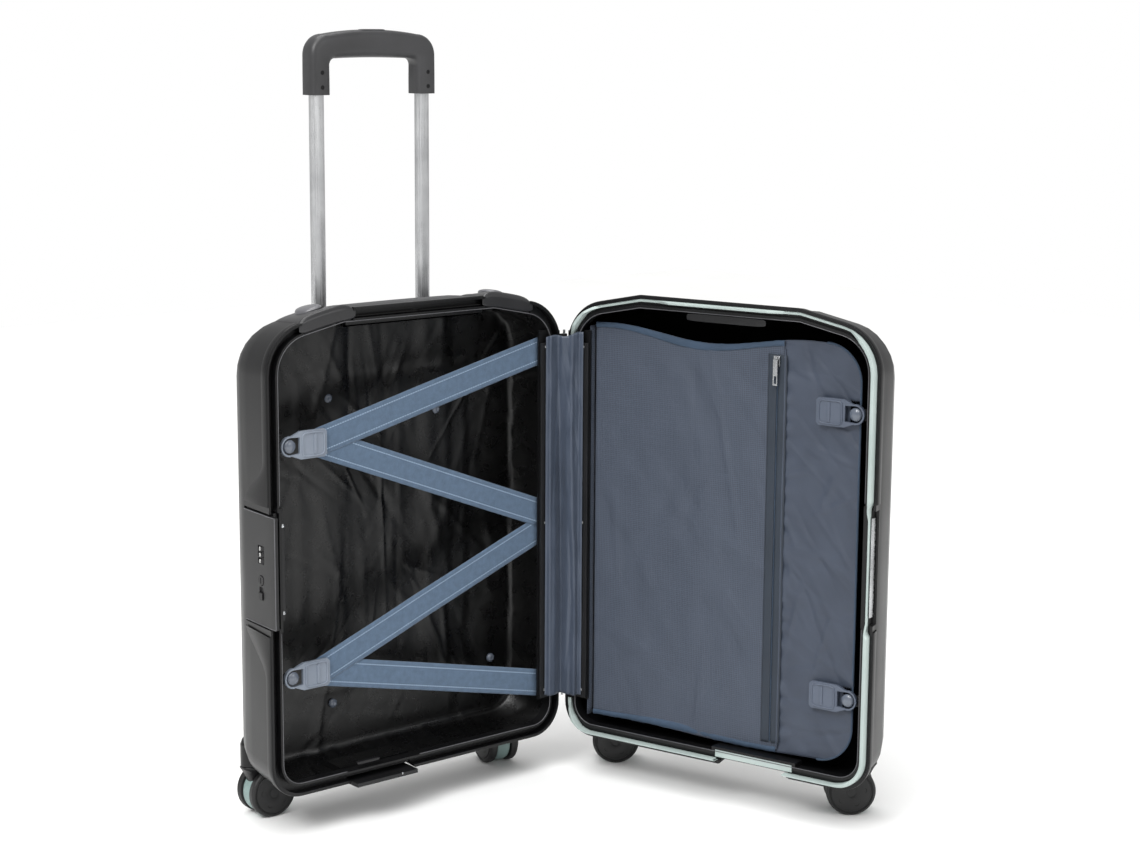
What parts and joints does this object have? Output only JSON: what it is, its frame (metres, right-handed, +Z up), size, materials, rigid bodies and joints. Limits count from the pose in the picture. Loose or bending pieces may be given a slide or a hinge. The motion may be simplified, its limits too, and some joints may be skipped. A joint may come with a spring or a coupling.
{
  "type": "suitcase",
  "caption": "Black hard-shell cabin suitcase on spinner casters, standing open, with a telescopic trolley handle, luggage straps and a zipped divider.",
  "frame": {"origin": "on the floor at the centre of the bounding box's ground plan", "axes": "+Z up; +X along the rear half's rim from its free, lockable side to the hinge side; +Y towards the rear half's outer back"},
  "size_m": [0.5638, 0.48, 0.8244],
  "materials": {
    "shell_black": "satin black injection-moulded polypropylene, fine grain",
    "trim_black": "dark moulded nylon, fine texture",
    "soft_grip": "grey-black satin soft-touch plastic",
    "gasket_grey": "pale grey-green flexible seal",
    "caster_grey": "grey-green nylon housing",
    "tube_aluminium": "bright anodised extrusion",
    "steel": "plated steel",
    "wheel_black": "black moulded wheel with a thin soft tread",
    "lining_black": "thin shiny black nylon lining",
    "divider_slate": "slate ripstop polyester with a mesh field",
    "webbing_blue": "blue-grey woven webbing with paler stitched lines",
    "buckle_grey": "blue-grey moulded acetal, satin"
  },
  "bodies": {
    "rear_half": {"rear_shell": "shell_black", "rear_lining": "lining_black", "hinge_rear_leaf": "trim_black", "hinge_pin": "steel", "rear_gusset_strip": "trim_black", "hinge_gusset": "divider_slate", "handle_base_left": "soft_grip", "handle_base_right": "soft_grip", "guide_tube_left": "tube_aluminium", "guide_tube_right": "tube_aluminium", "trolley_base": "trim_black", "trolley_bezel": "trim_black", "lock_base": "trim_black", "bottom_latch_bracket": "trim_black", "rear_knob_upper": "buckle_grey", "rear_knob_lower": "buckle_grey", "strap_upper": "webbing_blue", "strap_lower": "webbing_blue", "buckle_upper": "buckle_grey", "buckle_lower": "buckle_grey"},
    "carry_strap": {"carry_handle": "soft_grip"},
    "trolley_mid": {"mid_tube_left": "tube_aluminium", "mid_tube_right": "tube_aluminium"},
    "trolley_inner": {"inner_tube_left": "tube_aluminium", "inner_tube_right": "tube_aluminium", "grip": "soft_grip"},
    "grip_button": {"push_button": "trim_black"},
    "lock_flap": {"lock_lever": "trim_black"},
    "dial_1": {"lock_dial_1": "trim_black"},
    "dial_2": {"lock_dial_2": "trim_black"},
    "dial_3": {"lock_dial_3": "trim_black"},
    "key_plug": {"key_cylinder": "steel"},
    "lock_release": {"lock_button": "trim_black"},
    "latch_lever": {"bottom_latch": "trim_black"},
    "front_half": {"front_shell": "shell_black", "gasket": "gasket_grey", "hinge_front_leaf": "trim_black", "front_gusset_strip": "trim_black", "lock_striker": "steel", "bottom_striker": "gasket_grey", "front_knob_upper": "buckle_grey", "front_knob_lower": "buckle_grey"},
    "divider": {"divider_panel": "divider_slate", "divider_buckle_upper": "buckle_grey", "divider_buckle_lower": "buckle_grey", "zipper_tape": "divider_slate"},
    "zipper_slider": {"zip_slider": "steel"},
    "zipper_pull": {"zip_pull": "steel"},
    "caster_rear_free": {"caster_rear_free_fork": "caster_grey"},
    "caster_rear_free_wheels": {"caster_rear_free_wheel_a": "wheel_black", "caster_rear_free_wheel_b": "wheel_black"},
    "caster_rear_hinge": {"caster_rear_hinge_fork": "caster_grey"},
    "caster_rear_hinge_wheels": {"caster_rear_hinge_wheel_a": "wheel_black", "caster_rear_hinge_wheel_b": "wheel_black"},
    "caster_front_free": {"caster_front_free_fork": "caster_grey"},
    "caster_front_free_wheels": {"caster_front_free_wheel_a": "wheel_black", "caster_front_free_wheel_b": "wheel_black"},
    "caster_front_hinge": {"caster_front_hinge_fork": "caster_grey"},
    "caster_front_hinge_wheels": {"caster_front_hinge_wheel_a": "wheel_black", "caster_front_hinge_wheel_b": "wheel_black"}
  },
  "joints": [
    {"name": "case_hinge", "type": "hinge", "parent": "rear_half", "child": "front_half", "pos_m": [0.10323, 0.13127, 0.294], "axis": [0, 0, 1], "range_deg": [-105, 75], "deforming": ["hinge_gusset"]},
    {"name": "trolley_mid_slide", "type": "slide", "parent": "rear_half", "child": "trolley_mid", "axis": [0, 0, 1], "range_m": [0, 0.2]},
    {"name": "trolley_inner_slide", "type": "slide", "parent": "trolley_mid", "child": "trolley_inner", "axis": [0, 0, 1], "range_m": [-0.286, 0]},
    {"name": "grip_button_press", "type": "slide", "parent": "trolley_inner", "child": "grip_button", "axis": [0, 0, -1], "range_m": [0, 0.003], "stiffness_N_per_m": 300, "springref_m": -0.001},
    {"name": "carry_handle_lift", "type": "slide", "parent": "rear_half", "child": "carry_strap", "axis": [0, 0, 1], "range_m": [0, 0.016]},
    {"name": "lock_lever_swing", "type": "hinge", "parent": "rear_half", "child": "lock_flap", "pos_m": [-0.27647, 0.18177, 0.286], "axis": [0, 0, -1], "range_deg": [0, 40]},
    {"name": "dial_1_turn", "type": "hinge", "parent": "lock_flap", "child": "dial_1", "pos_m": [-0.27567, 0.14927, 0.308], "axis": [0, 0, 1], "continuous": true},
    {"name": "dial_2_turn", "type": "hinge", "parent": "lock_flap", "child": "dial_2", "pos_m": [-0.27567, 0.14927, 0.3016], "axis": [0, 0, 1], "continuous": true},
    {"name": "dial_3_turn", "type": "hinge", "parent": "lock_flap", "child": "dial_3", "pos_m": [-0.27567, 0.14927, 0.2952], "axis": [0, 0, 1], "continuous": true},
    {"name": "key_turn", "type": "hinge", "parent": "lock_flap", "child": "key_plug", "pos_m": [-0.27727, 0.14927, 0.275], "axis": [-1, 0, 0], "range_deg": [0, 90]},
    {"name": "lock_button_slide", "type": "slide", "parent": "lock_flap", "child": "lock_release", "axis": [0, 0, 1], "range_m": [0, 0.005], "stiffness_N_per_m": 100, "springref_m": -0.001},
    {"name": "bottom_latch_swing", "type": "hinge", "parent": "rear_half", "child": "latch_lever", "pos_m": [-0.14427, 0.16327, 0.0472], "axis": [1, 0, 0], "range_deg": [0, 35]},
    {"name": "divider_swing", "type": "hinge", "parent": "front_half", "child": "divider", "pos_m": [0.12753, 0.10434, 0.286], "axis": [0, 0, -1], "range_deg": [0, 85]},
    {"name": "zip_slide", "type": "slide", "parent": "divider", "child": "zipper_slider", "axis": [0, 0, -1], "range_m": [0, 0.395]},
    {"name": "zip_pull_swing", "type": "hinge", "parent": "zipper_slider", "child": "zipper_pull", "pos_m": [0.17938, -0.11698, 0.489], "axis": [-0.2588, 0.9659, 0], "range_deg": [0, 80]},
    {"name": "caster_rear_free_swivel", "type": "hinge", "parent": "rear_half", "child": "caster_rear_free", "pos_m": [-0.25127, 0.22127, 0.06], "axis": [0, 0, 1], "continuous": true},
    {"name": "caster_rear_free_roll", "type": "hinge", "parent": "caster_rear_free", "child": "caster_rear_free_wheels", "pos_m": [-0.23328, 0.22055, 0.0265], "axis": [0.0401, 0.9992, 0], "continuous": true},
    {"name": "caster_rear_hinge_swivel", "type": "hinge", "parent": "rear_half", "child": "caster_rear_hinge", "pos_m": [0.06873, 0.22127, 0.06], "axis": [0, 0, 1], "continuous": true},
    {"name": "caster_rear_hinge_roll", "type": "hinge", "parent": "caster_rear_hinge", "child": "caster_rear_hinge_wheels", "pos_m": [0.06477, 0.20371, 0.0265], "axis": [0.9755, -0.2198, 0], "continuous": true},
    {"name": "caster_front_free_swivel", "type": "hinge", "parent": "front_half", "child": "caster_front_free", "pos_m": [0.2658, -0.18182, 0.06], "axis": [0, 0, 1], "continuous": true},
    {"name": "caster_front_free_roll", "type": "hinge", "parent": "caster_front_free", "child": "caster_front_free_wheels", "pos_m": [0.25206, -0.1702, 0.0265], "axis": [-0.6455, -0.7638, 0], "continuous": true},
    {"name": "caster_front_hinge_swivel", "type": "hinge", "parent": "front_half", "child": "caster_front_hinge", "pos_m": [0.18816, 0.10796, 0.06], "axis": [0, 0, 1], "continuous": true},
    {"name": "caster_front_hinge_roll", "type": "hinge", "parent": "caster_front_hinge", "child": "caster_front_hinge_wheels", "pos_m": [0.17441, 0.11957, 0.0265], "axis": [-0.6455, -0.7638, 0], "continuous": true}
  ]
}
